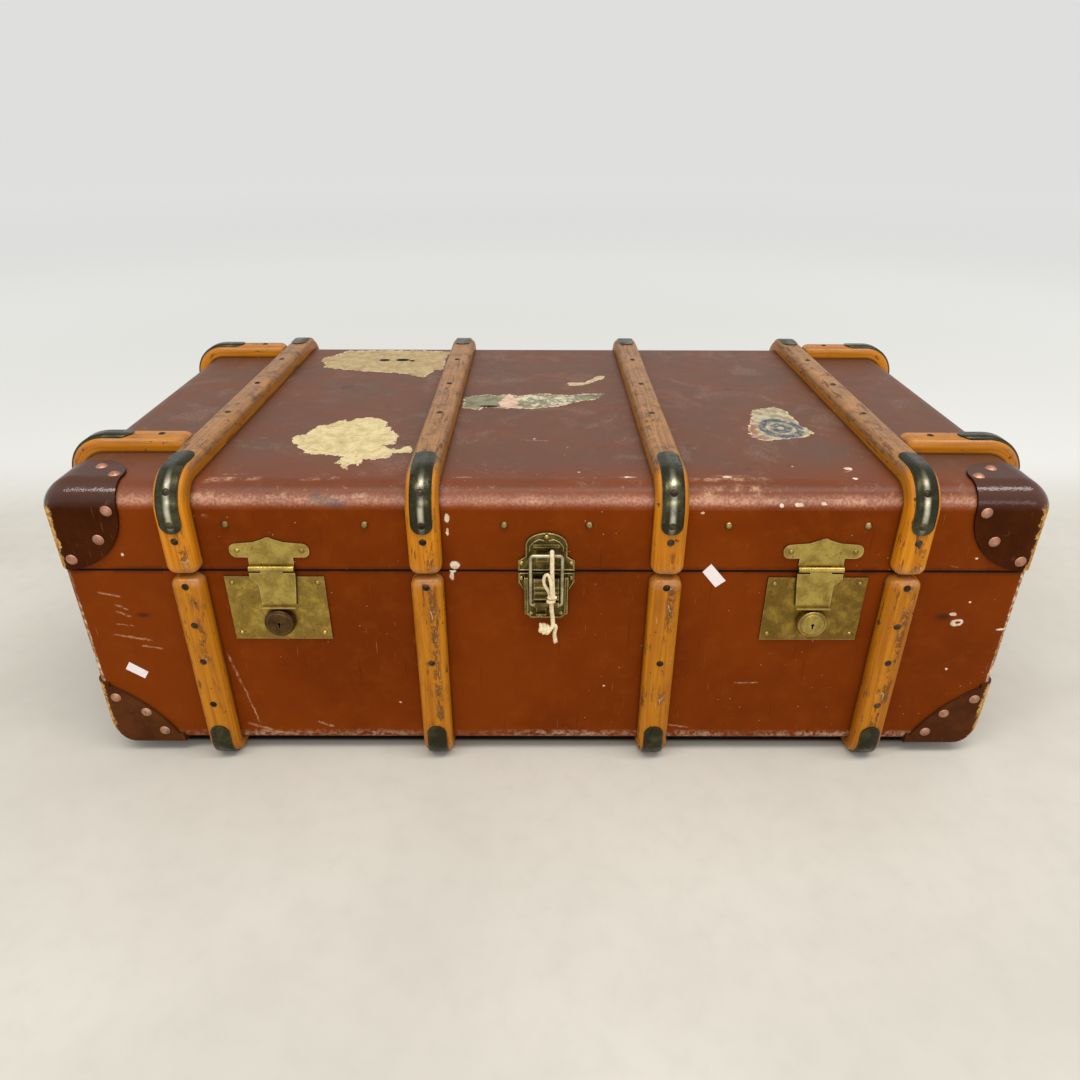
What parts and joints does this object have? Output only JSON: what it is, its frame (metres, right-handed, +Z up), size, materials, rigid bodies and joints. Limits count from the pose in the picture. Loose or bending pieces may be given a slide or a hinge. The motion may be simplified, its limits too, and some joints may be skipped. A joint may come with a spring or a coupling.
{
  "type": "cabin trunk",
  "caption": "Flat-topped cabin trunk with bentwood slats, riveted leather corners, hasp locks, a draw catch and a hinged lid.",
  "frame": {"origin": "on the floor under the middle of the closed trunk", "axes": "+X along the trunk to the right seen from the front, +Y from the front to the back, +Z up"},
  "size_m": [0.9464, 0.5216, 0.3252],
  "materials": {
    "covering": "red-brown covering, worn and slightly glossy",
    "paper_lining": "plain aged paper",
    "lip_wood": "bare pale wood",
    "cap_bronze": "blackened with worn highlights",
    "slat_wood": "varnished bentwood, amber",
    "foot_leather": "dull dark brown",
    "corner_leather": "glossy dark brown",
    "copper_rivet": "copper plated, domed",
    "dark_nail": "dark oxidised",
    "lock_brass": "aged brass with worn edges",
    "hasp_brass": "aged brass, rubbed bright at the edges",
    "dark_brass": "bronzed brass",
    "collar_brass": "aged brass",
    "catch_brass": "dark aged brass",
    "wire_brass": "rubbed brass wire",
    "plate_rivet": "aged brass",
    "dark_steel": "dark, dull",
    "case_steel": "plain",
    "cotton": "cream cotton string",
    "handle_leather": "brown strap leather"
  },
  "bodies": {
    "base": {"base_corner_back_left": "foot_leather", "base_corner_back_right": "foot_leather", "base_corner_front_left": "foot_leather", "base_corner_front_right": "foot_leather", "base_corner_rivets": "copper_rivet", "base_end_slats_left": "slat_wood", "base_end_slats_right": "slat_wood", "base_lining": "paper_lining", "base_nails": "dark_nail", "base_plate_rivets": "plate_rivet", "base_rim": "lip_wood", "base_shell": "covering", "base_slat_1": "slat_wood", "base_slat_2": "slat_wood", "base_slat_3": "slat_wood", "base_slat_4": "slat_wood", "base_slat_caps": "cap_bronze", "catch_pin": "dark_steel", "catch_plate": "catch_brass", "handle_brackets": "dark_steel", "hinge_leaves_base": "dark_steel", "hinge_pins": "dark_steel", "lock_cases": "case_steel", "lock_collars": "collar_brass", "lock_plate_left": "lock_brass", "lock_plate_right": "lock_brass"},
    "lid": {"catch_keeper": "catch_brass", "hasp_pins": "dark_steel", "hasp_plate_left": "hasp_brass", "hasp_plate_right": "hasp_brass", "hinge_leaves_lid": "dark_steel", "lid_corner_back_left": "corner_leather", "lid_corner_back_right": "corner_leather", "lid_corner_front_left": "corner_leather", "lid_corner_front_right": "corner_leather", "lid_corner_rivets": "copper_rivet", "lid_end_caps": "cap_bronze", "lid_end_slats_left": "slat_wood", "lid_end_slats_right": "slat_wood", "lid_lining": "paper_lining", "lid_nails": "dark_nail", "lid_plate_rivets": "plate_rivet", "lid_shell": "covering", "lid_slat_1": "slat_wood", "lid_slat_2": "slat_wood", "lid_slat_3": "slat_wood", "lid_slat_4": "slat_wood", "lid_slat_caps": "cap_bronze", "lid_studs": "collar_brass"},
    "catch_bail": {"catch_bail": "wire_brass", "tie_string": "cotton"},
    "catch_lever": {"catch_lever": "catch_brass"},
    "handle_left": {"handle_left": "handle_leather"},
    "handle_right": {"handle_right": "handle_leather"},
    "hasp_left": {"hasp_left": "hasp_brass"},
    "hasp_right": {"hasp_right": "hasp_brass"},
    "lock_plug_left": {"lock_plug_left": "dark_brass"},
    "lock_plug_right": {"lock_plug_right": "lock_brass"}
  },
  "joints": [
    {"name": "lid_hinge", "type": "hinge", "parent": "base", "child": "lid", "pos_m": [0, 0.24485, 0.224], "axis": [-1, 0, 0], "range_deg": [0, 100]},
    {"name": "hasp_left_hinge", "type": "hinge", "parent": "lid", "child": "hasp_left", "pos_m": [-0.257, -0.24435, 0.2275], "axis": [-1, 0, 0], "range_deg": [0, 165]},
    {"name": "hasp_right_hinge", "type": "hinge", "parent": "lid", "child": "hasp_right", "pos_m": [0.257, -0.24435, 0.2275], "axis": [-1, 0, 0], "range_deg": [0, 165]},
    {"name": "lock_left_turn", "type": "hinge", "parent": "base", "child": "lock_plug_left", "pos_m": [-0.257, -0.243, 0.169], "axis": [0, -1, 0], "range_deg": [0, 90]},
    {"name": "lock_right_turn", "type": "hinge", "parent": "base", "child": "lock_plug_right", "pos_m": [0.257, -0.243, 0.169], "axis": [0, -1, 0], "range_deg": [0, 90]},
    {"name": "catch_lever_pivot", "type": "hinge", "parent": "base", "child": "catch_lever", "pos_m": [0, -0.2469, 0.216], "axis": [-1, 0, 0], "range_deg": [0, 150]},
    {"name": "catch_bail_pivot", "type": "hinge", "parent": "catch_lever", "child": "catch_bail", "pos_m": [0, -0.25055, 0.192], "axis": [-1, 0, 0], "range_deg": [-150, 0]},
    {"name": "handle_right_swing", "type": "hinge", "parent": "base", "child": "handle_right", "pos_m": [0.4665, 0, 0.154], "axis": [0, -1, 0], "range_deg": [0, 95]},
    {"name": "handle_left_swing", "type": "hinge", "parent": "base", "child": "handle_left", "pos_m": [-0.4665, 0, 0.154], "axis": [0, 1, 0], "range_deg": [0, 95]}
  ],
  "couplings": [
    {"joint": "catch_bail_pivot", "follows": "catch_lever_pivot", "ratio": -1}
  ]
}
